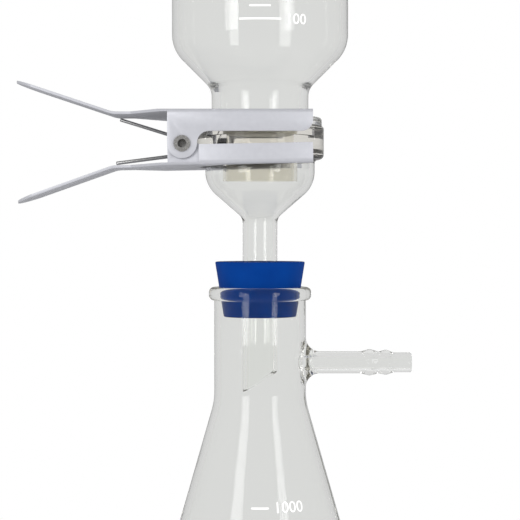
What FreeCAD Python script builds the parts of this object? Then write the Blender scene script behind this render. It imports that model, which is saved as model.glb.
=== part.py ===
import FreeCAD, Part
import math
import os
import Sketcher

# A 47 mm vacuum filtration set in borosilicate glass: a side-arm flask, a stopper, a support base with
# a fritted disc, a membrane, a reservoir funnel and a sprung clamp that grips the two glass flanges.
# Millimetres. +Z is up along the common glass axis, +X points along the flask's side arm, and the
# origin is the centre of the flask's underside.

SIZES = {
    # flask, measured as radii and as heights above its underside
    "flask_radius": 68.0,
    "flask_inner": 64.8,
    "floor_height": 4.5,
    "heel_height": 12.0,
    "shoulder_height": 176.0,
    "neck_radius": 20.9,
    "neck_inner": 18.6,
    "bead_radius": 23.3,
    "bead_height": 6.0,
    "rim_height": 228.0,
    "heel_round": 7.5,
    "heel_blend": 25.0,
    "neck_blend": 30.0,
    "bead_round": 2.3,
    "lip_round": 2.0,
    "heel_round_inside": 6.0,
    # side arm, measured as radii and as distances along +X
    "arm_height": 193.6,
    "arm_start": 19.6,
    "arm_radius": 5.0,
    "arm_bore": 3.0,
    "arm_root_round": 6.5,
    "olive_start": 46.0,
    "olive_peak": 50.0,
    "olive_radius": 6.1,
    "olive_waist": 54.0,
    "olive_waist_radius": 4.9,
    "olive_peak_two": 57.5,
    "olive_radius_two": 5.8,
    "arm_tip_start": 61.0,
    "arm_tip_radius": 4.5,
    "arm_end": 69.0,
    "olive_round": 2.5,
    "arm_tip_round": 0.6,
    # stopper
    "stopper_bottom": 214.6,
    "stopper_top": 239.6,
    "stopper_small": 16.5,
    "stopper_large": 20.5,
    "stopper_hole": 7.95,
    "stopper_round": 0.6,
    # support base
    "stem_radius": 7.9,
    "stem_bore": 6.3,
    "tip_low": 180.2,
    "tip_high": 189.7,
    "cone_foot": 259.5,
    "cone_top": 274.2,
    "cone_foot_inside": 260.8,
    "cone_top_inside": 275.1,
    "bowl_radius": 24.9,
    "bowl_inner": 22.9,
    "bowl_round": 14.0,
    "bowl_round_inside": 12.0,
    "stem_blend": 5.0,
    "head_bottom": 286.0,
    "head_radius": 29.0,
    "head_round": 2.2,
    "head_top_round": 1.2,
    "head_blend": 1.8,
    "joint_height": 301.0,
    "skirt_radius": 17.0,
    "skirt_inner": 15.5,
    "skirt_bottom": 276.0,
    "skirt_root": 287.0,
    "frit_radius": 17.0,
    "frit_seat": 17.05,
    "frit_bottom": 296.8,
    "membrane_radius": 23.5,
    "membrane_thickness": 0.18,
    # reservoir funnel
    "funnel_foot": 301.22,
    "flange_radius": 28.1,
    "flange_top": 304.9,
    "flange_round": 1.4,
    "funnel_neck": 22.0,
    "funnel_bore": 18.5,
    "funnel_neck_top": 318.0,
    "funnel_neck_top_inside": 317.9,
    "funnel_shoulder": 336.0,
    "funnel_shoulder_inside": 337.0,
    "funnel_radius": 40.0,
    "funnel_inner": 37.6,
    "funnel_rim": 408.0,
    "funnel_lip_radius": 43.0,
    "funnel_lip_height": 6.0,
    "funnel_shoulder_round": 16.0,
    "funnel_neck_blend": 8.0,
    # enamel scales
    "enamel_lift": 0.03,
    "enamel_thickness": 0.12,
    "mark_width": 0.8,
    "long_mark_angle": 26.0,
    "short_mark_angle": 13.0,
    # clamp, measured from the rivet's axis: u runs along +X, w up
    "rivet_x": -34.0,
    "rivet_z": 291.65,
    "sheet": 1.2,
    "jaw_half_width": 31.5,
    "jaw_tip": 57.1,
    "glass_axis": 34.0,
    "ear_radius": 6.5,
    "ear_hole": 2.45,
    "ear_gap": 0.2,
    "bend_round": 2.2,
    "upper_web_bottom": 14.05,
    "upper_wall_bottom": 5.45,
    "upper_fork_radius": 25.8,
    "wall_corner_round": 5.0,
    "slot_end_round": 5.4,
    "lower_web_top": 8.15,
    "lower_wall_top": 0.45,
    "lower_wall_start": 7.3,
    "lower_fork_radius": 27.6,
    "lower_tilt": 1.1,
    "shoulder_back": 9.0,
    "handle_half_width": 14.0,
    "handle_root": 24.0,
    "handle_bend": 32.0,
    "handle_end": 77.0,
    "handle_rise": 15.0,
    "handle_bend_round": 12.0,
    "handle_tip_radius": 16.0,
    "rivet_radius": 2.4,
    "rivet_bore": 1.9,
    "rivet_head_radius": 3.6,
    "rivet_head": 0.6,
    "rivet_clearance": 0.1,
    # torsion spring on the rivet
    "wire_radius": 0.8,
    "coil_radius": 3.8,
    "coil_pitch": 1.75,
    "coil_length": 20.125,
    "leg_reach": 30.0,
    "upper_leg_spread": 9.3,
    "lower_leg_spread": 3.9,
}

ENAMEL_FRONT_ANGLE = -90.0
FLASK_MARKS_ML = (200, 400, 600, 800, 1000)
FUNNEL_FIRST_MARK_ML = 100
FUNNEL_LAST_MARK_ML = 300
FUNNEL_MARK_STEP_ML = 25
SAME = 0.01

doc = FreeCAD.newDocument("FiltrationSet")
sheet = doc.addObject("Spreadsheet::Sheet", "Sizes")
for row, (alias, value) in enumerate(SIZES.items(), start=1):
    sheet.set(f"A{row}", alias)
    sheet.set(f"B{row}", str(value))
    sheet.setAlias(f"B{row}", alias)
doc.recompute()


def measure(formula):
    """The value of a sum of sizes and numbers, such as 'rim_height - bead_height'."""
    total = 0.0
    sign = 1.0
    for word in formula.split():
        if word in "+-":
            sign = 1.0 if word == "+" else -1.0
        else:
            total += sign * (SIZES[word] if word in SIZES else float(word))
    return total


def bound(formula):
    """The same sum as an expression that reads the spreadsheet."""
    return " ".join("Sizes." + word if word in SIZES else word for word in formula.split())


def new_body(name):
    body = doc.addObject("PartDesign::Body", name)
    body.Label = name
    return body


def sketch_on(body, role, name):
    plane = next(item for item in body.Origin.OriginFeatures if item.Role == role)
    sketch = body.newObject("Sketcher::SketchObject", name)
    sketch.AttachmentSupport = [(plane, "")]
    sketch.MapMode = "FlatFace"
    return sketch


def tie(sketch, line, corner):
    """Holds the start of a line at a corner whose two coordinates are sums of sheet sizes."""
    for kind, axis, formula in (("DistanceX", -2, corner[0]), ("DistanceY", -1, corner[1])):
        value = measure(formula)
        if abs(value) < SAME:
            sketch.addConstraint(Sketcher.Constraint("PointOnObject", line, 1, axis))
        else:
            held = sketch.addConstraint(Sketcher.Constraint(kind, -1, 1, line, 1, value))
            sketch.setExpression(f"Constraints[{held}]", bound(formula))


def draw(sketch, corners):
    """A closed outline of straight lines through the corners."""
    places = [FreeCAD.Vector(measure(x), measure(y), 0) for x, y in corners]
    first = sketch.GeometryCount
    count = len(places)
    for start, end in zip(places, places[1:] + places[:1]):
        sketch.addGeometry(Part.LineSegment(start, end))
    for step in range(count):
        following = first + (step + 1) % count
        sketch.addConstraint(Sketcher.Constraint("Coincident", first + step, 2, following, 1))
    for step, corner in enumerate(corners):
        tie(sketch, first + step, corner)


def circle(sketch, x, y, radius):
    """A full circle whose centre and radius are sums of sheet sizes."""
    centre = FreeCAD.Vector(measure(x), measure(y), 0)
    index = sketch.addGeometry(Part.Circle(centre, FreeCAD.Vector(0, 0, 1), measure(radius)))
    held = sketch.addConstraint(Sketcher.Constraint("Radius", index, measure(radius)))
    sketch.setExpression(f"Constraints[{held}]", bound(radius))
    for kind, axis, formula in (("DistanceX", -2, x), ("DistanceY", -1, y)):
        value = measure(formula)
        if abs(value) < SAME:
            sketch.addConstraint(Sketcher.Constraint("PointOnObject", index, 3, axis))
        else:
            held = sketch.addConstraint(Sketcher.Constraint(kind, -1, 1, index, 3, value))
            sketch.setExpression(f"Constraints[{held}]", bound(formula))


def turn(body, kind, name, corners, axis="V_Axis", height=None):
    """A Revolution or Groove of an outline drawn on the body's XZ plane."""
    sketch = sketch_on(body, "XZ_Plane", name + "Outline")
    if height:
        sketch.setExpression("AttachmentOffset.Base.y", bound(height))
    draw(sketch, corners)
    feature = body.newObject("PartDesign::" + kind, name)
    feature.Profile = sketch
    feature.ReferenceAxis = (sketch, [axis])
    feature.Angle = 360
    doc.recompute()
    return feature


def extrude(body, kind, name, role, outlines, length, offset=None, midplane=False, holes=(), back=False):
    """A Pad or Pocket of straight outlines and round holes drawn on an origin plane."""
    sketch = sketch_on(body, role, name + "Outline")
    if offset:
        sketch.setExpression("AttachmentOffset.Base.z", bound(offset))
    for corners in outlines:
        draw(sketch, corners)
    for x, y, radius in holes:
        circle(sketch, x, y, radius)
    feature = body.newObject("PartDesign::" + kind, name)
    feature.Profile = sketch
    feature.Midplane = midplane
    feature.Reversed = back
    feature.setExpression("Length", bound(length))
    doc.recompute()
    return feature


def ring(shape, radius, height):
    """Names of the round edges about the Z axis at a radius and height."""
    found = []
    for number, edge in enumerate(shape.Edges, start=1):
        curve = edge.Curve
        if not isinstance(curve, Part.Circle):
            continue
        on_axis = math.hypot(curve.Center.x, curve.Center.y) < SAME
        if on_axis and abs(curve.Center.z - height) < SAME and abs(curve.Radius - radius) < SAME:
            found.append(f"Edge{number}")
    return found


def edges_where(shape, wanted):
    """Names of the edges for which wanted(edge) is true."""
    return [f"Edge{number}" for number, edge in enumerate(shape.Edges, start=1) if wanted(edge)]


def fillet(body, name, edges, radius):
    """Rounds edges of the body's last feature."""
    if not edges:
        raise ValueError(f"{body.Name}: no edge for {name}")
    base = body.Tip
    feature = body.newObject("PartDesign::Fillet", name)
    feature.Base = (base, edges)
    feature.setExpression("Radius", bound(radius))
    doc.recompute()
    return feature


def round_rings(body, name, rings, radius):
    """Rounds the round edges at the given pairs of radius and height."""
    shape = body.Tip.Shape
    edges = []
    for ring_radius, height in rings:
        edges += ring(shape, measure(ring_radius), measure(height))
    return fillet(body, name, edges, radius)


def make_flask():
    """Heavy-walled conical flask with a beaded rim and a side arm that ends in a hose olive."""
    body = new_body("receiving_flask")
    bead_foot = "rim_height - bead_height"
    turn(body, "Revolution", "Glass", [
        ("0", "0"),
        ("flask_radius", "0"),
        ("flask_radius", "heel_height"),
        ("neck_radius", "shoulder_height"),
        ("neck_radius", bead_foot),
        ("bead_radius", bead_foot),
        ("bead_radius", "rim_height"),
        ("0", "rim_height"),
    ])
    round_rings(body, "HeelRound", [("flask_radius", "0")], "heel_round")
    round_rings(body, "HeelBlend", [("flask_radius", "heel_height")], "heel_blend")
    round_rings(body, "NeckBlend", [("neck_radius", "shoulder_height")], "neck_blend")
    bead_edges = [("bead_radius", bead_foot), ("bead_radius", "rim_height")]
    round_rings(body, "BeadRound", bead_edges, "bead_round")
    turn(body, "Revolution", "SideArm", [
        ("arm_start", "0"),
        ("arm_start", "arm_radius"),
        ("olive_start", "arm_radius"),
        ("olive_peak", "olive_radius"),
        ("olive_waist", "olive_waist_radius"),
        ("olive_peak_two", "olive_radius_two"),
        ("arm_tip_start", "arm_tip_radius"),
        ("arm_end", "arm_tip_radius"),
        ("arm_end", "0"),
    ], "H_Axis", "arm_height")
    root = measure("neck_radius")
    fillet(body, "ArmRoot", edges_where(
        body.Tip.Shape,
        lambda edge: not isinstance(edge.Curve, (Part.Circle, Part.Line))
        and 0.9 * root < edge.BoundBox.Center.x < root
        and edge.BoundBox.ZLength < 3 * measure("arm_radius")
    ), "arm_root_round")
    ridges = ("olive_start", "olive_peak", "olive_waist", "olive_peak_two", "arm_tip_start")
    olive = [measure(ridge) for ridge in ridges]
    fillet(body, "OliveRounds", edges_where(
        body.Tip.Shape,
        lambda edge: isinstance(edge.Curve, Part.Circle)
        and any(abs(edge.Curve.Center.x - x) < SAME for x in olive)
        and edge.Curve.Radius < measure("olive_radius") + 1
    ), "olive_round")
    turn(body, "Groove", "Hollow", [
        ("0", "floor_height"),
        ("flask_inner", "floor_height"),
        ("flask_inner", "heel_height"),
        ("neck_inner", "shoulder_height"),
        ("neck_inner", "rim_height + 1"),
        ("0", "rim_height + 1"),
    ])
    round_rings(body, "InnerHeel", [("flask_inner", "floor_height")], "heel_round_inside")
    round_rings(body, "InnerHeelBlend", [("flask_inner", "heel_height")], "heel_round_inside")
    round_rings(body, "InnerNeckBlend", [("neck_inner", "shoulder_height")], "neck_blend")
    round_rings(body, "Lip", [("neck_inner", "rim_height")], "lip_round")
    turn(body, "Groove", "ArmBore", [
        ("neck_inner - 3", "0"),
        ("neck_inner - 3", "arm_bore"),
        ("arm_end + 1", "arm_bore"),
        ("arm_end + 1", "0"),
    ], "H_Axis", "arm_height")
    fillet(body, "ArmTip", edges_where(
        body.Tip.Shape,
        lambda edge: isinstance(edge.Curve, Part.Circle)
        and abs(edge.Curve.Center.x - measure("arm_end")) < SAME
    ), "arm_tip_round")
    return body


def make_stopper():
    """Tapered silicone stopper with one hole for the support base's stem."""
    body = new_body("stopper")
    turn(body, "Revolution", "Rubber", [
        ("stopper_hole", "stopper_bottom"),
        ("stopper_small", "stopper_bottom"),
        ("stopper_large", "stopper_top"),
        ("stopper_hole", "stopper_top"),
    ])
    round_rings(body, "Edges", [
        ("stopper_small", "stopper_bottom"),
        ("stopper_large", "stopper_top"),
    ], "stopper_round")
    return body


def make_support_base():
    """Glass head with a round bowl under it, an inner skirt under the frit and a long drip stem."""
    body = new_body("support_base")
    turn(body, "Revolution", "Glass", [
        ("0", "tip_low"),
        ("stem_radius", "tip_low"),
        ("stem_radius", "cone_foot"),
        ("bowl_radius", "cone_top"),
        ("bowl_radius", "head_bottom"),
        ("head_radius", "head_bottom"),
        ("head_radius", "joint_height"),
        ("0", "joint_height"),
    ])
    round_rings(body, "StemBlend", [("stem_radius", "cone_foot")], "stem_blend")
    round_rings(body, "BowlRound", [("bowl_radius", "cone_top")], "bowl_round")
    round_rings(body, "HeadBlend", [("bowl_radius", "head_bottom")], "head_blend")
    round_rings(body, "HeadRound", [("head_radius", "head_bottom")], "head_round")
    round_rings(body, "HeadTopRound", [("head_radius", "joint_height")], "head_top_round")
    turn(body, "Groove", "Hollow", [
        ("0", "tip_low - 1"),
        ("stem_bore", "tip_low - 1"),
        ("stem_bore", "cone_foot_inside"),
        ("bowl_inner", "cone_top_inside"),
        ("bowl_inner", "skirt_root"),
        ("skirt_radius", "skirt_root"),
        ("skirt_radius", "skirt_bottom"),
        ("skirt_inner", "skirt_bottom"),
        ("skirt_inner", "frit_bottom"),
        ("frit_seat", "frit_bottom"),
        ("frit_seat", "joint_height + 1"),
        ("0", "joint_height + 1"),
    ])
    round_rings(body, "InnerStemBlend", [("stem_bore", "cone_foot_inside")], "stem_blend")
    round_rings(body, "InnerBowlRound", [("bowl_inner", "cone_top_inside")], "bowl_round_inside")
    margin = "stem_radius + 1"
    tip_cut = extrude(body, "Pocket", "DripTip", "XZ_Plane", [[
        ("- stem_radius", "tip_low"),
        ("stem_radius", "tip_high"),
        (margin, "tip_high"),
        (margin, "tip_low - 2"),
        ("- stem_radius - 1", "tip_low - 2"),
        ("- stem_radius - 1", "tip_low"),
    ]], "head_radius", midplane=True)
    if tip_cut.Shape.Volume >= tip_cut.BaseFeature.Shape.Volume:
        raise ValueError("the drip tip's cut removed nothing")
    return body


def make_disc(name, radius, foot, top):
    """A plain round disc on the glass axis."""
    body = new_body(name)
    turn(body, "Revolution", "Disc", [("0", foot), (radius, foot), (radius, top), ("0", top)])
    return body


def make_funnel():
    """Reservoir funnel: a ground flange, a short neck, a round shoulder, a cylinder and a beaded rim."""
    body = new_body("funnel")
    lip_foot = "funnel_rim - funnel_lip_height"
    turn(body, "Revolution", "Glass", [
        ("0", "funnel_foot"),
        ("flange_radius", "funnel_foot"),
        ("flange_radius", "flange_top"),
        ("funnel_neck", "flange_top"),
        ("funnel_neck", "funnel_neck_top"),
        ("funnel_radius", "funnel_shoulder"),
        ("funnel_radius", lip_foot),
        ("funnel_lip_radius", lip_foot),
        ("funnel_lip_radius", "funnel_rim"),
        ("0", "funnel_rim"),
    ])
    round_rings(body, "FlangeRounds", [("flange_radius", "flange_top")], "flange_round")
    round_rings(body, "NeckFoot", [("funnel_neck", "flange_top")], "flange_round")
    round_rings(body, "NeckTop", [("funnel_neck", "funnel_neck_top")], "funnel_neck_blend")
    round_rings(body, "Shoulder", [("funnel_radius", "funnel_shoulder")], "funnel_shoulder_round")
    round_rings(body, "RimBead", [
        ("funnel_lip_radius", lip_foot),
        ("funnel_lip_radius", "funnel_rim"),
    ], "bead_round")
    turn(body, "Groove", "Hollow", [
        ("0", "funnel_foot - 1"),
        ("funnel_bore", "funnel_foot - 1"),
        ("funnel_bore", "funnel_neck_top_inside"),
        ("funnel_inner", "funnel_shoulder_inside"),
        ("funnel_inner", "funnel_rim + 1"),
        ("0", "funnel_rim + 1"),
    ])
    round_rings(body, "InnerNeckTop", [("funnel_bore", "funnel_neck_top_inside")], "funnel_neck_blend")
    round_rings(body, "InnerShoulder", [("funnel_inner", "funnel_shoulder_inside")], "bowl_round")
    round_rings(body, "InnerLip", [("funnel_inner", "funnel_rim")], "lip_round")
    return body


def jaw_plan(half_width, fork, tip):
    """Plan outline of a jaw's web: two prongs round a U-shaped gap, and a waist towards the handle."""
    return [
        (tip, half_width),
        ("- shoulder_back", half_width),
        ("- handle_root", "handle_half_width"),
        ("- handle_root", "- handle_half_width"),
        ("- shoulder_back", "- " + half_width),
        (tip, "- " + half_width),
        (tip, "- " + fork),
        ("glass_axis", "- " + fork),
        ("glass_axis", fork),
        (tip, fork),
    ]


def cut_fork_end(body, fork, foot):
    """Rounds the closed end of the fork's gap about the glass axis."""
    before = body.Tip.Shape.Volume
    cut = extrude(body, "Pocket", "ForkEnd", "XY_Plane", [], "sheet + 2", foot,
                  holes=[("glass_axis", "0", fork)], back=True)
    if cut.Shape.Volume >= before:
        raise ValueError(f"{body.Name}: the fork's round end was not cut")


def walls(body, name, corners, inside, outside):
    """The same sheet wall on both sides of the jaw, between two distances from the middle plane."""
    for side, offset in (("Left", outside), ("Right", "- " + inside.replace("-", "+"))):
        extrude(body, "Pad", name + side, "XZ_Plane", [corners], "sheet", offset, back=True)


def cut_ear_holes(body):
    """The rivet's hole through both ears."""
    before = body.Tip.Shape.Volume
    cut = extrude(body, "Pocket", "RivetHole", "XZ_Plane", [],
                  "jaw_half_width + jaw_half_width + 10", midplane=True, holes=[("0", "0", "ear_hole")])
    if cut.Shape.Volume >= before:
        raise ValueError(f"{body.Name}: the rivet hole was not cut")


def cross_edges(shape, u, w):
    """Names of the edges along Y at a position in the side view."""
    def across(edge):
        box = edge.BoundBox
        return (box.XLength < SAME and box.ZLength < SAME
                and abs(box.XMin - u) < SAME and abs(box.ZMin - w) < SAME)
    return edges_where(shape, across)


def long_edges(shape, v, w):
    """Names of the straight edges along X at a distance from the middle plane and a height."""
    def along(edge):
        box = edge.BoundBox
        return (box.YLength < SAME and box.ZLength < SAME and box.XLength > 5
                and abs(abs(box.YMin) - v) < SAME and abs(box.ZMin - w) < SAME)
    return edges_where(shape, along)


def round_handle_end(body):
    """Cuts the handle's square end to an arc a little wider than the handle."""
    half = measure("handle_tip_radius")
    centre = FreeCAD.Vector(measure("handle_tip_radius - handle_end + 0.5"), 0, 0)
    sketch = sketch_on(body, "XY_Plane", "HandleEndOutline")
    waste = [
        (centre.x, -half), (centre.x, -half - 1), (centre.x - half - 1, -half - 1),
        (centre.x - half - 1, half + 1), (centre.x, half + 1), (centre.x, half),
    ]
    circle = Part.Circle(centre, FreeCAD.Vector(0, 0, 1), half)
    sketch.addGeometry(Part.ArcOfCircle(circle, math.pi / 2, 3 * math.pi / 2))
    places = [FreeCAD.Vector(x, y, 0) for x, y in waste]
    for start, end in zip(places, places[1:]):
        sketch.addGeometry(Part.LineSegment(start, end))
    for line in range(len(places)):
        sketch.addConstraint(Sketcher.Constraint("Coincident", line, 2, (line + 1) % len(places), 1))
    across = sketch.addConstraint(Sketcher.Constraint("Radius", 0, half))
    sketch.setExpression(f"Constraints[{across}]", "Sizes.handle_tip_radius")
    along = sketch.addConstraint(Sketcher.Constraint("DistanceX", -1, 1, 0, 3, centre.x))
    sketch.setExpression(f"Constraints[{along}]", bound("handle_tip_radius - handle_end + 0.5"))
    sketch.addConstraint(Sketcher.Constraint("PointOnObject", 0, 3, -1))
    before = body.Tip.Shape.Volume
    cut = body.newObject("PartDesign::Pocket", "HandleEnd")
    cut.Profile = sketch
    cut.Midplane = True
    cut.setExpression("Length", "4 * Sizes.handle_end")
    doc.recompute()
    if cut.Shape.Volume >= before:
        raise ValueError(f"{body.Name}: the handle's end was not rounded")


def add_handle(body, side):
    """The handle beyond the rivet, bent away from the other jaw; side is '' for up and '- ' for down."""
    inner = "upper_web_bottom" if side == "" else "- lower_web_top"
    skin = " + sheet" if side == "" else " - sheet"
    rise = " + handle_rise" if side == "" else " - handle_rise"
    extrude(body, "Pad", "Handle", "XZ_Plane", [[
        ("- handle_root + 2", inner),
        ("- handle_bend", inner),
        ("- handle_end", inner + rise),
        ("- handle_end", inner + skin + rise),
        ("- handle_bend", inner + skin),
        ("- handle_root + 2", inner + skin),
    ]], "handle_half_width + handle_half_width", midplane=True)
    bend = -measure("handle_bend")
    edges = cross_edges(body.Tip.Shape, bend, measure(inner))
    edges += cross_edges(body.Tip.Shape, bend, measure(inner + skin))
    fillet(body, "HandleBend", edges, "handle_bend_round")
    round_handle_end(body)


def make_upper_jaw():
    """Anodised sheet jaw over the funnel's flange, with its ears outside the lower jaw's."""
    body = new_body("clamp_upper_jaw")
    top = "upper_web_bottom + sheet"
    extrude(body, "Pad", "Web", "XY_Plane", [jaw_plan("jaw_half_width", "upper_fork_radius", "jaw_tip")],
            "sheet", "upper_web_bottom")
    cut_fork_end(body, "upper_fork_radius", "upper_web_bottom - 1")
    inside = "jaw_half_width - sheet"
    walls(body, "Wall", [
        ("- ear_radius", "0"),
        ("ear_radius", "0"),
        ("ear_radius", "upper_wall_bottom"),
        ("jaw_tip", "upper_wall_bottom"),
        ("jaw_tip", top),
        ("- ear_radius", top),
    ], inside, "jaw_half_width")
    wall_bottom = measure("upper_wall_bottom")
    slot_end = cross_edges(body.Tip.Shape, measure("ear_radius"), wall_bottom)
    fillet(body, "SlotEnd", slot_end, "slot_end_round")
    wall_corner = cross_edges(body.Tip.Shape, measure("jaw_tip"), wall_bottom)
    fillet(body, "WallCorner", wall_corner, "wall_corner_round")
    bend = long_edges(body.Tip.Shape, measure("jaw_half_width"), measure(top))
    fillet(body, "Bend", bend, "bend_round")
    for side, offset in (("Left", "jaw_half_width"), ("Right", "- jaw_half_width + sheet")):
        extrude(body, "Pad", "Ear" + side, "XZ_Plane", [], "sheet", offset,
                holes=[("0", "0", "ear_radius")], back=True)
    add_handle(body, "")
    cut_ear_holes(body)
    return body


def make_lower_jaw():
    """Anodised sheet jaw under the support base's head, joggled inwards at its ears."""
    body = new_body("clamp_lower_jaw")
    foot = "- lower_web_top - sheet"
    extrude(body, "Pad", "Web", "XY_Plane", [jaw_plan("jaw_half_width", "lower_fork_radius", "jaw_tip")],
            "sheet", foot)
    cut_fork_end(body, "lower_fork_radius", foot + " - 1")
    walls(body, "Wall", [
        ("lower_wall_start", foot),
        ("jaw_tip", foot),
        ("jaw_tip", "- lower_wall_top"),
        ("lower_wall_start", "- lower_wall_top"),
    ], "jaw_half_width - sheet", "jaw_half_width")
    ear_outside = "jaw_half_width - sheet - ear_gap"
    right_inside = "- jaw_half_width + sheet + sheet + ear_gap"
    walls(body, "Ear", [
        ("- ear_radius", foot),
        ("lower_wall_start + sheet", foot),
        ("lower_wall_start + sheet", "- lower_wall_top"),
        ("ear_radius", "0"),
        ("- ear_radius", "0"),
    ], "jaw_half_width - sheet - sheet - ear_gap", ear_outside)
    for side, offset in (("Left", ear_outside), ("Right", right_inside)):
        extrude(body, "Pad", "EarRound" + side, "XZ_Plane", [], "sheet", offset,
                holes=[("0", "0", "ear_radius")], back=True)
    for side, offset in (("Left", "jaw_half_width"), ("Right", right_inside)):
        extrude(body, "Pad", "Joggle" + side, "XZ_Plane", [[
            ("lower_wall_start", foot),
            ("lower_wall_start + sheet", foot),
            ("lower_wall_start + sheet", "- lower_wall_top"),
            ("lower_wall_start", "- lower_wall_top"),
        ]], "sheet + sheet + ear_gap", offset, back=True)
    bend = long_edges(body.Tip.Shape, measure("jaw_half_width"), measure(foot))
    fillet(body, "Bend", bend, "bend_round")
    add_handle(body, "- ")
    cut_ear_holes(body)
    return body


def make_rivet():
    """Tubular rivet through all four ears, with its ends rolled over."""
    body = new_body("clamp_rivet")
    seat = "jaw_half_width + rivet_clearance"
    end = seat + " + rivet_head"
    turn(body, "Revolution", "Tube", [
        ("- " + end.replace("+", "-"), "rivet_bore"),
        ("- " + end.replace("+", "-"), "rivet_head_radius"),
        ("- " + seat.replace("+", "-"), "rivet_head_radius"),
        ("- " + seat.replace("+", "-"), "rivet_radius"),
        (seat, "rivet_radius"),
        (seat, "rivet_head_radius"),
        (end, "rivet_head_radius"),
        (end, "rivet_bore"),
    ], "H_Axis")
    return body


def place_on_rivet(item, tilt=0.0, quarter_turn=False):
    """Moves a clamp piece from its own frame, about the rivet, to its place on the set."""
    if quarter_turn:
        item.Placement.Rotation = FreeCAD.Rotation(FreeCAD.Vector(0, 0, 1), 90)
    else:
        item.Placement.Rotation = FreeCAD.Rotation(FreeCAD.Vector(0, 1, 0), tilt)
    item.setExpression("Placement.Base.x", "Sizes.rivet_x")
    item.setExpression("Placement.Base.z", "Sizes.rivet_z")


def bar(name, start, end):
    """A straight length of spring wire between two points of the clamp's frame."""
    wire = doc.addObject("Part::Cylinder", name)
    wire.setExpression("Radius", "Sizes.wire_radius")
    direction = end.sub(start)
    wire.Height = direction.Length
    wire.Placement = FreeCAD.Placement(start, FreeCAD.Rotation(FreeCAD.Vector(0, 0, 1), direction))
    return wire


def knuckle(name, place):
    """A ball that joins two lengths of wire."""
    ball = doc.addObject("Part::Sphere", name)
    ball.setExpression("Radius", "Sizes.wire_radius")
    ball.Placement.Base = place
    return ball


def make_spring():
    """Torsion spring: a coil round the rivet and a leg that presses on each handle."""
    helix = doc.addObject("Part::Helix", "SpringHelix")
    helix.setExpression("Radius", "Sizes.coil_radius")
    helix.setExpression("Pitch", "Sizes.coil_pitch")
    helix.setExpression("Height", "Sizes.coil_length")
    section = doc.addObject("Part::Circle", "SpringSection")
    section.setExpression("Radius", "Sizes.wire_radius")
    section.Placement = FreeCAD.Placement(
        FreeCAD.Vector(measure("coil_radius"), 0, 0), FreeCAD.Rotation(FreeCAD.Vector(1, 0, 0), 90))
    coil = doc.addObject("Part::Sweep", "SpringCoil")
    coil.Sections = [section]
    coil.Spine = (helix, [])
    coil.Solid = True
    coil.Frenet = True
    half = measure("coil_length") / 2
    # the coil's axis lies along Y, its first turn starts at the top and its last ends at the bottom
    coil.Placement = FreeCAD.Placement(
        FreeCAD.Vector(0, half, 0),
        FreeCAD.Rotation(FreeCAD.Vector(1, 0, 0), 90) * FreeCAD.Rotation(FreeCAD.Vector(0, 0, 1), 90))
    doc.recompute()
    reach = -measure("leg_reach")
    pieces = [coil]
    for name, side in (("Upper", 1), ("Lower", -1)):
        start = FreeCAD.Vector(0, side * half, side * measure("coil_radius"))
        spread = measure(name.lower() + "_leg_spread")
        end = FreeCAD.Vector(reach, side * half, side * (measure("coil_radius") + spread))
        pieces += [
            knuckle(name + "Knuckle", start),
            bar(name + "Leg", start, end),
            knuckle(name + "End", end),
        ]
    spring = doc.addObject("Part::MultiFuse", "clamp_spring")
    spring.Label = "clamp_spring"
    spring.Shapes = pieces
    return spring


def slab(name, radius, height, angle):
    """A thin slice of the space round the axis, centred on the front, that one mark is cut from."""
    piece = doc.addObject("Part::Cylinder", name)
    piece.setExpression("Radius", bound(radius))
    piece.setExpression("Height", "Sizes.mark_width")
    piece.setExpression("Angle", bound(angle))
    start = ENAMEL_FRONT_ANGLE - measure(angle) / 2
    piece.Placement = FreeCAD.Placement(
        FreeCAD.Vector(0, 0, height), FreeCAD.Rotation(FreeCAD.Vector(0, 0, 1), start))
    return piece


def enamel(name, skin, core, slabs):
    """Enamel marks: the slabs, kept only between a skin and a core."""
    together = doc.addObject("Part::MultiFuse", name + "Slabs")
    together.Shapes = slabs
    trimmed = doc.addObject("Part::MultiCommon", name + "Trimmed")
    trimmed.Shapes = [together, skin]
    marks = doc.addObject("Part::Cut", name)
    marks.Label = name
    marks.Base = trimmed
    marks.Tool = core
    return marks


def cone_on_flask(name, lift):
    """A solid cone that follows the flask's outer slope, lifted off it by a sum of sizes."""
    cone = doc.addObject("Part::Cone", name)
    cone.setExpression("Radius1", bound("flask_radius + " + lift))
    cone.setExpression("Radius2", bound("neck_radius + " + lift))
    cone.setExpression("Height", bound("shoulder_height - heel_height"))
    cone.setExpression("Placement.Base.z", "Sizes.heel_height")
    return cone


def make_flask_scale():
    """Enamel volume marks on the front of the flask's cone, at the heights its inside volume gives."""
    low = measure("heel_height")
    slope = (measure("flask_inner") - measure("neck_inner")) / (measure("shoulder_height") - low)
    foot_volume = math.pi * measure("flask_inner") ** 2 * (low - measure("floor_height"))
    slabs = []
    for volume in FLASK_MARKS_ML:
        cube = measure("flask_inner") ** 3 - 3 * slope * (volume * 1000 - foot_volume) / math.pi
        height = low + (measure("flask_inner") - cube ** (1 / 3)) / slope
        slabs.append(slab(f"FlaskMark{volume}", "flask_radius + 5", height, "short_mark_angle"))
    skin = cone_on_flask("FlaskScaleSkin", "enamel_lift + enamel_thickness")
    core = cone_on_flask("FlaskScaleCore", "enamel_lift")
    return enamel("flask_scale", skin, core, slabs)


def funnel_cylinder(name, lift):
    """A solid cylinder round the reservoir, lifted off it by a sum of sizes."""
    cylinder = doc.addObject("Part::Cylinder", name)
    cylinder.setExpression("Radius", bound("funnel_radius + " + lift))
    cylinder.setExpression("Height", bound("funnel_rim - funnel_shoulder"))
    cylinder.setExpression("Placement.Base.z", "Sizes.funnel_shoulder")
    return cylinder


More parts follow.
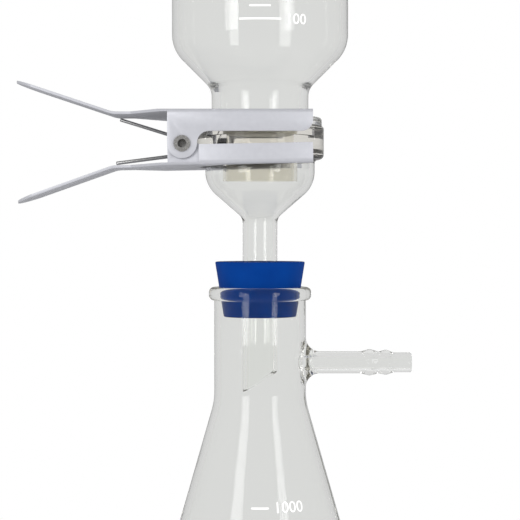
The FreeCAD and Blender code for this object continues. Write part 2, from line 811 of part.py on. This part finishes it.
def make_funnel_scale():
    """Enamel volume marks on the front of the reservoir's cylinder, a long one every 50 ml."""
    bore = measure("funnel_bore")
    wide = measure("funnel_inner")
    neck_volume = math.pi * bore ** 2 * (measure("funnel_neck_top_inside") - measure("joint_height"))
    rise = measure("funnel_shoulder_inside") - measure("funnel_neck_top_inside")
    cone_volume = math.pi * rise / 3 * (bore ** 2 + bore * wide + wide ** 2)
    slabs = []
    for volume in range(FUNNEL_FIRST_MARK_ML, FUNNEL_LAST_MARK_ML + 1, FUNNEL_MARK_STEP_ML):
        above = (volume * 1000 - neck_volume - cone_volume) / (math.pi * wide ** 2)
        angle = "short_mark_angle" if volume % 50 else "long_mark_angle"
        height = measure("funnel_shoulder_inside") + above
        slabs.append(slab(f"FunnelMark{volume}", "funnel_radius + 5", height, angle))
    skin = funnel_cylinder("FunnelScaleSkin", "enamel_lift + enamel_thickness")
    core = funnel_cylinder("FunnelScaleCore", "enamel_lift")
    return enamel("funnel_scale", skin, core, slabs)


upper_jaw = make_upper_jaw()
lower_jaw = make_lower_jaw()
rivet = make_rivet()
spring = make_spring()
nodes = [
    make_flask(),
    make_flask_scale(),
    make_stopper(),
    make_support_base(),
    make_disc("fritted_disc", "frit_radius", "frit_bottom", "joint_height"),
    make_disc("membrane_filter", "membrane_radius", "joint_height", "joint_height + membrane_thickness"),
    make_funnel(),
    make_funnel_scale(),
    upper_jaw,
    lower_jaw,
    rivet,
    spring,
]
place_on_rivet(upper_jaw)
place_on_rivet(lower_jaw, -measure("lower_tilt"))
place_on_rivet(rivet, quarter_turn=True)
place_on_rivet(spring)
doc.recompute()

for item in doc.Objects:
    if "Invalid" in item.State or "Error" in item.State:
        raise RuntimeError(f"{item.Name} did not compute: {item.State}")
for node in nodes:
    if node.Shape.isNull() or not node.Shape.isValid():
        raise RuntimeError(f"{node.Label} has no valid shape")

os.makedirs("parts", exist_ok=True)
for node in nodes:
    node.Shape.exportStep(f"parts/{node.Label}.step")
    box = node.Shape.BoundBox
    print(f"{node.Label}: {len(node.Shape.Solids)} solid(s), {node.Shape.Volume / 1000:.2f} cm3, "
          f"x {box.XMin:.1f} to {box.XMax:.1f}, y {box.YMin:.1f} to {box.YMax:.1f}, "
          f"z {box.ZMin:.1f} to {box.ZMax:.1f}")
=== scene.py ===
# %% [markdown]
# # A vacuum filtration set
#
# The set stands on a heavy conical flask with a side arm for the vacuum hose. A blue stopper holds the
# stem of a glass support base in the flask's neck. A white membrane lies on the base's sintered disc, a
# reservoir funnel stands on the membrane, and a sprung sheet clamp grips the two ground flanges.
#
# The lesson loads the designer's model as a fixed frame, rounds the edges of the sheet clamp, winds its
# spring, fires numbers onto the glass and gives every piece its own material. Everything is in metres,
# with the origin under the middle of the flask.

# %% Load the frame
import bpy
import math
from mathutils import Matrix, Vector


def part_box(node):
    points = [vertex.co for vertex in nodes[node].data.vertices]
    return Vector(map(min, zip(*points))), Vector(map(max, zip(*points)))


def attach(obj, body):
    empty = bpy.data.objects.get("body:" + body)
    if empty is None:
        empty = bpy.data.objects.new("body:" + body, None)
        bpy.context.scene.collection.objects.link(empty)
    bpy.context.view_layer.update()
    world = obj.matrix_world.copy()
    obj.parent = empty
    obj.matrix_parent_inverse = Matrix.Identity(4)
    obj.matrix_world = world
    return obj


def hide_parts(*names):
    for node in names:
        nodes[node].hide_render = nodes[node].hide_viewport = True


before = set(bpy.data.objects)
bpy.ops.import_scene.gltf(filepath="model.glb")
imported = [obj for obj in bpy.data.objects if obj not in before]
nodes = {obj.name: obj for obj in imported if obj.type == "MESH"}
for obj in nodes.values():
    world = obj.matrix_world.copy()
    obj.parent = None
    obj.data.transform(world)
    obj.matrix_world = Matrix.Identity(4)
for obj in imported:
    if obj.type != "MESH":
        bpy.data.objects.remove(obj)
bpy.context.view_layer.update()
MM = 0.001

# %% [markdown]
# ## The camera and the studio
#
# A long lens at the height of the joint keeps the glass upright and nearly free of perspective. Two tall
# soft lamps, one to each side of the camera, leave the upright streaks that tell the eye it sees glass.

# %% Camera
REACH = 0.716
EYE_HEIGHT = 0.2522
LENS = 108.7
PITCH = math.radians(0.952)

bpy.ops.object.camera_add(location=(0, -REACH, EYE_HEIGHT), rotation=(math.pi / 2 - PITCH, 0, 0))
camera = bpy.context.object
camera.data.lens = LENS
camera.data.clip_start = 0.01
bpy.context.scene.camera = camera
print("camera looks along +Y from", tuple(round(v, 3) for v in camera.location))

# %% Lamps
LAMP_DISTANCE, LAMP_HEIGHT, LAMP_TALL, LAMP_GLOW = 1.3, 0.50, 0.8, 7.0
LAMP_TARGET = Vector((0, 0, 0.27))


def soft_lamp(name, azimuth, width):
    """A tall soft lamp that faces the set; azimuth 0 is behind the camera, positive to the right."""
    turn = math.radians(azimuth)
    place = Vector((math.sin(turn) * LAMP_DISTANCE, -math.cos(turn) * LAMP_DISTANCE, LAMP_HEIGHT))
    aim = (LAMP_TARGET - place).to_track_quat("-Z", "Y").to_euler()
    bpy.ops.object.light_add(type="AREA", location=place, rotation=aim)
    lamp = bpy.context.object
    lamp.name = name
    lamp.data.shape = "RECTANGLE"
    lamp.data.size = width
    lamp.data.size_y = LAMP_TALL
    lamp.data.energy = LAMP_GLOW * math.pi * width * LAMP_TALL
    print(name, round(lamp.data.energy, 2), "W")


soft_lamp("left_lamp", -37, 0.40)
soft_lamp("right_lamp", 38, 0.30)

# %% [markdown]
# ## A small language for materials
#
# A pattern is easier to read as a sum than as a web of nodes. `Wire` wraps one output, and Python's own
# operators add the Math nodes. `Nodes` holds a tree, and its `node` method adds anything else. `Recipe` is
# such a tree with a material's own shader in it.

# %% Wires and recipes
class Wire:
    """One output of a material's nodes, which answers to Python's arithmetic."""

    def __init__(self, recipe, socket):
        self.recipe = recipe
        self.socket = socket

    def math(self, operation, *others):
        values = [self, *others]
        return self.recipe.node("Math", dict(enumerate(values)), operation=operation)

    def __add__(self, other):
        return self.math("ADD", other)

    def __radd__(self, other):
        return self.math("ADD", other)

    def __sub__(self, other):
        return self.math("SUBTRACT", other)

    def __rsub__(self, other):
        return self.recipe.node("Math", {0: other, 1: self}, operation="SUBTRACT")

    def __mul__(self, other):
        return self.math("MULTIPLY", other)

    def __rmul__(self, other):
        return self.math("MULTIPLY", other)

    def span(self, low, high, new_low=0.0, new_high=1.0):
        """The value spread evenly from one range to another, and held at the ends."""
        return self.recipe.node("MapRange", {"Value": self, "From Min": low, "From Max": high,
                                             "To Min": new_low, "To Max": new_high}, clamp=True)


class Nodes:
    """A tree of nodes, and the one method that adds to it."""

    def __init__(self, tree):
        self.tree = tree

    def node(self, kind, sockets=None, output=0, **settings):
        """Adds a node, sets it up, then gives its sockets values or wires, and returns one output."""
        made = self.tree.nodes.new("ShaderNode" + kind)
        for setting, value in settings.items():
            setattr(made, setting, value)
        for socket, value in (sockets or {}).items():
            if isinstance(value, Wire):
                self.tree.links.new(value.socket, made.inputs[socket])
            else:
                made.inputs[socket].default_value = value
        return Wire(self, made.outputs[output])


class Recipe(Nodes):
    """One material: its nodes, and the shader that they feed."""

    def __init__(self, name, **constants):
        self.material = bpy.data.materials.new(name)
        self.material.use_nodes = True
        super().__init__(self.material.node_tree)
        self.shader = self.tree.nodes["Principled BSDF"]
        self.output = self.tree.nodes["Material Output"]
        for socket, value in constants.items():
            self.shader.inputs[socket.replace("_", " ")].default_value = value

    def place(self):
        """The point on the piece, in metres."""
        return self.node("TexCoord", output="Object")

    def axis(self, letter):
        return self.node("SeparateXYZ", {0: self.place()}, output=letter)

    def noise(self, scale, detail=4.0, roughness=0.5, stretch=(1, 1, 1)):
        """Soft random blotches; scale is their count per metre."""
        spot = self.node("Mapping", {"Vector": self.place(), "Scale": stretch})
        return self.node("TexNoise", {"Vector": spot, "Scale": scale, "Detail": detail,
                                      "Roughness": roughness})

    def blend(self, amount, first, second):
        """A colour between two others."""
        return self.node("Mix", {0: amount, 6: first, 7: second}, output=2, data_type="RGBA")

    def feed(self, socket, wire):
        self.tree.links.new(wire.socket, self.shader.inputs[socket])

    def bump(self, height, strength, distance):
        self.feed("Normal", self.node("Bump", {"Height": height, "Strength": strength, "Distance": distance},
                                      output="Normal"))


def grey(value):
    return (value, value, value, 1)


def dress(piece, recipe):
    """Gives a piece its material."""
    piece.data.materials.clear()
    piece.data.materials.append(recipe.material)


# %% [markdown]
# ## The studio's world and floor
#
# The eye sees a plain white surround. The glass sees two others: what comes through it is a pale board, and
# what mirrors off it is a dim room, so a wall of glass is a clean light grey with little haze over it. No
# real studio does this. It is a trick of the Light Path node, which tells the rays apart. The floor gives
# off the same light, beyond a soft ring of shade. Light that is caught inside a wall of glass is mirrored
# dozens of times before it leaves, so the scene allows many bounces, or the thick corners turn black.

# %% World
BOARD_GLOW = 0.72
ROOM_GLOW = 0.30
MIRRORINGS = 96


def surround(tree):
    """White to the eye and to matt surfaces, dim to a mirrored ray, pale to a ray that came through glass."""
    mirrored = tree.node("LightPath", output="Is Glossy Ray")
    through = tree.node("LightPath", output="Is Transmission Ray")
    seen = 1 - mirrored * (1 - ROOM_GLOW)
    return seen + through * (BOARD_GLOW - seen)


world = bpy.data.worlds.new("studio")
world.use_nodes = True
studio = Nodes(world.node_tree)
studio.tree.links.new(surround(studio).socket, studio.tree.nodes["Background"].inputs["Strength"])
studio.tree.nodes["Background"].inputs["Color"].default_value = grey(1.0)

scene = bpy.context.scene
scene.world = world
scene.view_settings.view_transform = "Standard"
scene.cycles.max_bounces = MIRRORINGS
scene.cycles.transmission_bounces = MIRRORINGS
scene.cycles.glossy_bounces = MIRRORINGS
print("a white surround, a pale board through the glass and a dim room in it")

# %% Floor
FLOOR_RADIUS, FLOOR_DROP = 3.0, 0.3 * MM
SHADE_START, SHADE_END, OWN_LIGHT = 0.08, 0.45, 0.35
bpy.ops.object.select_all(action="DESELECT")
bpy.ops.mesh.primitive_circle_add(vertices=96, radius=FLOOR_RADIUS, fill_type="NGON",
                                  location=(0, 0, -FLOOR_DROP))
floor = bpy.context.object
floor.name = "floor"
paper = Recipe("pale_floor", Base_Color=grey(0.9), Roughness=0.9)
dress(floor, paper)
glow = paper.node("Emission", {"Color": grey(1.0), "Strength": surround(paper)})
reach = paper.node("VectorMath", {0: paper.place()}, output="Value", operation="LENGTH")
lit = reach.span(SHADE_START, SHADE_END, OWN_LIGHT, 1.0)
own = Wire(paper, paper.shader.outputs["BSDF"])
mixed = paper.node("MixShader", {0: lit, 1: own, 2: glow})
paper.tree.links.new(mixed.socket, paper.output.inputs["Surface"])
print("floor shades into light between", SHADE_START, "and", SHADE_END, "m")

# %% [markdown]
# ## Borosilicate glass
#
# The walls are clear refractors with borosilicate's own index. A little absorption inside the volume greys
# only the long way through: a rim, a thick flange or the edge of a tube, where a ray runs along the wall.
# The two faces that meet at the joint are ground flat, so they are frosted. Two things are not set by
# physics: the mirror on the surface is turned down, so that it doesn't veil what stands inside, and the
# base's thick head and the skirt round its disc carry painted shade, a slightly warm, dark tint where the
# clamp shades them.

# %% Glass recipe
GLASS_INDEX = 1.473
MIRROR = 0.3
FROST = 0.42
CLEAR, DEEP = (0.985, 0.99, 0.98, 1), (0.42, 0.40, 0.32, 1)


def glass(name, density, ground=None):
    """Clear glass, faintly grey inside; between the two heights in ground its face turns frosted."""
    recipe = Recipe(name, Base_Color=CLEAR, Roughness=0.0, IOR=GLASS_INDEX,
                    Transmission_Weight=1.0, Specular_Tint=grey(MIRROR))
    inside = recipe.tree.nodes.new("ShaderNodeVolumeAbsorption")
    inside.inputs["Color"].default_value = DEEP
    inside.inputs["Density"].default_value = density
    recipe.tree.links.new(inside.outputs["Volume"], recipe.output.inputs["Volume"])
    if ground:
        recipe.feed("Roughness", recipe.axis("Z").span(*ground) * FROST)
    return recipe


# %% Flask and funnel
FLASK_DENSITY, SET_DENSITY = 4.0, 1.5
CLEAR_FROM, FROSTED_FROM = 0.04 * MM, 0.01 * MM
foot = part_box("funnel")[0][2]
dress(nodes["receiving_flask"], glass("flask_glass", FLASK_DENSITY))
dress(nodes["funnel"], glass("funnel_glass", SET_DENSITY, (foot + CLEAR_FROM, foot + FROSTED_FROM)))
print("funnel stands on its ground face at", round(foot / MM, 2), "mm")

# %% Support base
SKIRT_RADIUS, SKIRT_FOOT, HEAD_FOOT = 17.3 * MM, 275.5 * MM, 284 * MM
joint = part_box("support_base")[1][2]
base_glass = glass("base_glass", SET_DENSITY, (joint - CLEAR_FROM, joint - FROSTED_FROM))
height = base_glass.axis("Z")
flat = base_glass.node("VectorMath", {0: base_glass.place(), 1: (1, 1, 0)}, operation="MULTIPLY")
away = base_glass.node("VectorMath", {0: flat}, output="Value", operation="LENGTH")
# Painted shade: a mask for the glass inside the disc's skirt, which lies in shade beneath the disc and clamp.
painted_shade_skirt = away.span(SKIRT_RADIUS, SKIRT_RADIUS - 0.1 * MM) * height.span(SKIRT_FOOT, SKIRT_FOOT + 0.3 * MM)
# Painted shade: a mask for the thick head that sits in the clamp's shade.
painted_shade_head = height.span(HEAD_FOOT, HEAD_FOOT + 3 * MM)
# Painted shade: the head is tinted warm and dark, and the skirt is darker still, though the glass itself is
# clear.
head_shaded_walls = base_glass.blend(painted_shade_head, CLEAR, (0.95, 0.93, 0.88, 1))
base_glass.feed("Base Color", base_glass.blend(painted_shade_skirt, head_shaded_walls, (0.88, 0.86, 0.80, 1)))
dress(nodes["support_base"], base_glass)
print("base is ground flat at", round(joint / MM, 2), "mm")

# %% [markdown]
# ## The fritted disc and the membrane
#
# The disc is crushed glass, heated until its grains stick. It is white because each grain scatters light,
# and it feels like fine sandpaper, so one fine noise mottles it and lifts its surface. The membrane is
# smooth by comparison, with only a faint fibrous cloudiness.

# %% White pieces
frit_white = Recipe("sintered_glass", Roughness=0.85, Specular_IOR_Level=0.3)
grains = frit_white.noise(2600, detail=3)
frit_white.feed("Base Color", frit_white.blend(grains.span(0.3, 0.7), (0.66, 0.64, 0.57, 1),
                                               (0.82, 0.81, 0.74, 1)))
frit_white.bump(grains, 0.6, 0.12 * MM)
dress(nodes["fritted_disc"], frit_white)

membrane_white = Recipe("membrane_white", Roughness=0.6, Specular_IOR_Level=0.25)
fibres = membrane_white.noise(900, detail=6, roughness=0.7)
membrane_white.feed("Base Color", membrane_white.blend(fibres, (0.86, 0.86, 0.84, 1),
                                                       (0.97, 0.97, 0.96, 1)))
membrane_white.bump(fibres, 0.15, 0.03 * MM)
dress(nodes["membrane_filter"], membrane_white)
print("disc and membrane are white and matt")

# %% [markdown]
# ## The silicone stopper
#
# Moulded silicone is evenly coloured right through, with a satin skin. Two scales of noise keep it from
# looking like paint: broad, slight changes of shade, and the very fine tooth that the mould leaves.

# %% Stopper
stopper_blue = Recipe("silicone_blue", Specular_IOR_Level=0.03)
clouds = stopper_blue.noise(70, detail=3)
tooth = stopper_blue.noise(2400, detail=2)
stopper_blue.feed("Base Color", stopper_blue.blend(clouds.span(0.3, 0.7), (0.0002, 0.029, 0.180, 1),
                                                   (0.0004, 0.037, 0.215, 1)))
stopper_blue.feed("Roughness", clouds.span(0.3, 0.7, 0.44, 0.56))
stopper_blue.bump(tooth, 0.12, 0.05 * MM)
dress(nodes["stopper"], stopper_blue)

# %% [markdown]
# ## The sheet clamp
#
# Each jaw is one piece of sheet aluminium, pressed to shape, tumbled and anodised, so no edge is sharp. A
# render gives away a sharp edge at once, because it never catches the light. So each jaw is copied, its
# loose triangles are merged into flat faces, and a small bevel runs round every real edge. The finish is
# set to a pale satin: it is mostly matt, with much less metal in it than bare sheet would have.

# %% Copy helper
def copy_of(node, name):
    """A merged copy of a designer's piece, with its flat faces whole again."""
    bpy.ops.object.select_all(action="DESELECT")
    source = nodes[node]
    piece = source.copy()
    piece.data = source.data.copy()
    piece.name = name
    bpy.context.scene.collection.objects.link(piece)
    piece.select_set(True)
    bpy.context.view_layer.objects.active = piece
    bpy.ops.object.mode_set(mode="EDIT")
    bpy.ops.mesh.select_all(action="SELECT")
    bpy.ops.mesh.customdata_custom_splitnormals_clear()
    bpy.ops.mesh.remove_doubles(threshold=2e-6)
    bpy.ops.mesh.dissolve_limited(angle_limit=math.radians(0.6))
    bpy.ops.object.mode_set(mode="OBJECT")
    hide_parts(node)
    return piece


def finish_edges(piece, width, segments=2, angle=30):
    """Rounds the piece's real edges and smooths the rest."""
    bevel = piece.modifiers.new("rounded_edges", "BEVEL")
    bevel.width = width
    bevel.segments = segments
    bevel.limit_method = "ANGLE"
    bevel.angle_limit = math.radians(angle)
    bevel.use_clamp_overlap = True
    bpy.ops.object.modifier_apply(modifier=bevel.name)
    bpy.ops.object.shade_smooth_by_angle(angle=math.radians(angle))


# %% Anodised aluminium
SHEET_BEVEL = 0.22 * MM
anodised = Recipe("anodised", Metallic=0.30)
skin = anodised.noise(420, detail=5, roughness=0.6)
satin = anodised.noise(1500, detail=3, stretch=(0.12, 1, 1))
anodised.feed("Base Color", anodised.blend(skin.span(0.3, 0.7), (0.455, 0.46, 0.495, 1),
                                           (0.485, 0.49, 0.525, 1)))
anodised.feed("Roughness", satin.span(0.25, 0.75, 0.40, 0.52))
anodised.bump(satin, 0.10, 0.03 * MM)

for node, name, body in (("clamp_upper_jaw", "upper_jaw_sheet", "upper_jaw"),
                         ("clamp_lower_jaw", "lower_jaw_sheet", "clamp")):
    jaw = copy_of(node, name)
    finish_edges(jaw, SHEET_BEVEL)
    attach(jaw, body)
    dress(jaw, anodised)
    print(name, len(jaw.data.polygons), "faces")

# %% Rivet
plated = Recipe("rivet_steel", Metallic=1.0)
ring_marks = plated.noise(1800, detail=2, stretch=(1, 0.1, 1))
plated.feed("Base Color", plated.blend(ring_marks, (0.52, 0.51, 0.49, 1), (0.68, 0.67, 0.65, 1)))
plated.feed("Roughness", ring_marks.span(0.3, 0.7, 0.22, 0.36))
dress(nodes["clamp_rivet"], plated)
print("rivet is plated steel")

# %% [markdown]
# ## The torsion spring
#
# A close coil sits round the rivet, and its two tails press the handles apart. When the handles are
# squeezed the tails turn with them, so the spring is three pieces here: the coil and the lower tail stay
# with the clamp, and the upper tail follows the upper jaw. A Screw modifier winds the coil from one small
# circle, as a spring winder does.

# %% Spring wire
WIRE_RADIUS, COIL_RADIUS, COIL_LENGTH = 0.8 * MM, 3.8 * MM, 20.125 * MM
rivet_low, rivet_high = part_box("clamp_rivet")
RIVET = Vector(((rivet_low[0] + rivet_high[0]) / 2, 0, (rivet_low[2] + rivet_high[2]) / 2))


def apply_place(piece):
    """Puts a piece's place into its mesh, so that its object sits at the origin."""
    bpy.ops.object.select_all(action="DESELECT")
    piece.select_set(True)
    bpy.context.view_layer.objects.active = piece
    bpy.ops.object.transform_apply(location=True, rotation=True, scale=True)


def finish_wire(piece, name, body):
    """Names a length of wire and gives it its place, its body and its finish."""
    piece.name = name
    apply_place(piece)
    bpy.ops.object.shade_smooth_by_angle(angle=math.radians(40))
    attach(piece, body)
    dress(piece, wire_steel)


wire_steel = Recipe("spring_steel", Metallic=1.0)
drawn = wire_steel.noise(1400, detail=3)
wire_steel.feed("Base Color", wire_steel.blend(drawn, (0.42, 0.42, 0.42, 1), (0.60, 0.60, 0.59, 1)))
wire_steel.feed("Roughness", drawn.span(0.3, 0.7, 0.26, 0.40))
print("wire is", round(2 * WIRE_RADIUS / MM, 2), "mm thick")

# %% Wind the coil
TURNS, STEPS_PER_TURN = 11.5, 28
bpy.ops.object.select_all(action="DESELECT")
bpy.ops.mesh.primitive_circle_add(vertices=12, radius=WIRE_RADIUS, location=(0, 0, 0))
coil = bpy.context.object
bpy.ops.object.mode_set(mode="EDIT")
bpy.ops.mesh.select_all(action="SELECT")
bpy.ops.transform.rotate(value=math.pi / 2, orient_axis="Y", center_override=(0, 0, 0))
bpy.ops.transform.translate(value=(0, COIL_LENGTH / 2, COIL_RADIUS))
bpy.ops.object.mode_set(mode="OBJECT")
wind = coil.modifiers.new("wind", "SCREW")
wind.axis = "Y"
wind.angle = math.radians(360 * TURNS)
wind.screw_offset = -COIL_LENGTH
wind.steps = wind.render_steps = int(TURNS * STEPS_PER_TURN)
wind.use_merge_vertices = True
bpy.ops.object.modifier_apply(modifier=wind.name)
coil.location = RIVET
bpy.ops.object.mode_set(mode="EDIT")
bpy.ops.mesh.select_all(action="SELECT")
bpy.ops.mesh.normals_make_consistent(inside=False)
bpy.ops.object.mode_set(mode="OBJECT")
finish_wire(coil, "spring_coil", "clamp")
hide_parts("clamp_spring")
print("coil has", len(coil.data.polygons), "faces")

# %% Spring tails
TAIL_REACH, TAIL_END, TAIL_BEVEL = 30 * MM, 0.6 * MM, 0.45 * MM


def tail(name, side, spread, body):
    """A straight length of wire from the coil's end to a handle, with rounded ends."""
    start = RIVET + Vector((0, side * COIL_LENGTH / 2, side * COIL_RADIUS))
    end = start + Vector((-TAIL_REACH, 0, side * spread))
    along = end - start
    bpy.ops.object.select_all(action="DESELECT")
    bpy.ops.mesh.primitive_cylinder_add(vertices=12, radius=WIRE_RADIUS, depth=along.length + 2 * TAIL_END,
                                        location=(start + end) / 2,
                                        rotation=along.to_track_quat("Z", "Y").to_euler())
    piece = bpy.context.object
    finish_edges(piece, TAIL_BEVEL, segments=3, angle=60)
    finish_wire(piece, name, body)


tail("spring_upper_tail", 1, 9.3 * MM, "upper_jaw")
tail("spring_lower_tail", -1, 3.9 * MM, "clamp")
print("two tails,", round(TAIL_REACH / MM), "mm long")

# %% [markdown]
# ## Enamel scales
#
# Lab glass carries its volume marks in fired white enamel: bars, and a figure beside each round number.
# The bars come with the frame. The figures are text, turned into a mesh, laid flat and then wrapped round
# the glass by arithmetic: across the text becomes an angle, and up the text becomes a height.

# %% Enamel
enamel = Recipe("enamel_white", Specular_IOR_Level=0.5)
specks = enamel.noise(3000, detail=2)
enamel.feed("Base Color", enamel.blend(specks, (0.80, 0.80, 0.78, 1), (0.93, 0.93, 0.92, 1)))
enamel.feed("Roughness", specks.span(0.3, 0.7, 0.25, 0.40))
dress(nodes["flask_scale"], enamel)
dress(nodes["funnel_scale"], enamel)


def mark_places(node):
    """(height, distance from the axis, half width) of each bar, from the lowest up."""
    corners = sorted((corner.co for corner in nodes[node].data.vertices), key=lambda place: place.z)
    rows = [[corners[0]]]
    for corner in corners[1:]:
        if corner.z - rows[-1][-1].z > 2 * MM:
            rows.append([])
        rows[-1].append(corner)
    return [(sum(c.z for c in row) / len(row), max(c.xy.length for c in row), max(c.x for c in row))
            for row in rows]


funnel_marks = mark_places("funnel_scale")
flask_marks = mark_places("flask_scale")
print(len(funnel_marks), "bars on the funnel,", len(flask_marks), "on the flask")

# %% Figures
FIGURE_GAP, FIGURE_DEPTH, FIGURE_SINK = 2.2 * MM, 0.04 * MM, 0.06 * MM


def figure(text, size, mark, slope, owner, body):
    """A number beside a bar; slope is how fast the glass narrows with height."""
    height, reach, half_width = mark
    bpy.ops.object.select_all(action="DESELECT")
    bpy.ops.object.text_add(location=(0, 0, 0))
    words = bpy.context.object
    words.data.body = text
    words.data.size = size
    words.data.align_y = "CENTER"
    words.data.extrude = FIGURE_DEPTH
    words.data.resolution_u = 4
    bpy.ops.object.convert(target="MESH")
    words = bpy.context.object
    for corner in words.data.vertices:
        across, up, out = corner.co
        level = height + up / math.sqrt(1 + slope * slope)
        radius = reach - slope * (level - height) - FIGURE_SINK + out
        turn = (half_width + FIGURE_GAP + across) / reach
        corner.co = (radius * math.sin(turn), -radius * math.cos(turn), level)
    words.name = f"{owner}_figure_{text}"
    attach(words, body)
    dress(words, enamel)


for volume, mark in zip(range(100, 325, 25), funnel_marks):
    if volume % 100 == 0:
        figure(str(volume), 6.5 * MM, mark, 0.0, "funnel", "reservoir")
low_mark, high_mark = flask_marks[0], flask_marks[-1]
cone_slope = (low_mark[1] - high_mark[1]) / (high_mark[0] - low_mark[0])
for volume, mark in zip(range(200, 1200, 200), flask_marks):
    figure(str(volume), 7 * MM, mark, cone_slope, "flask", "flask")
print("the flask narrows by", round(cone_slope, 3), "mm for each mm of height")
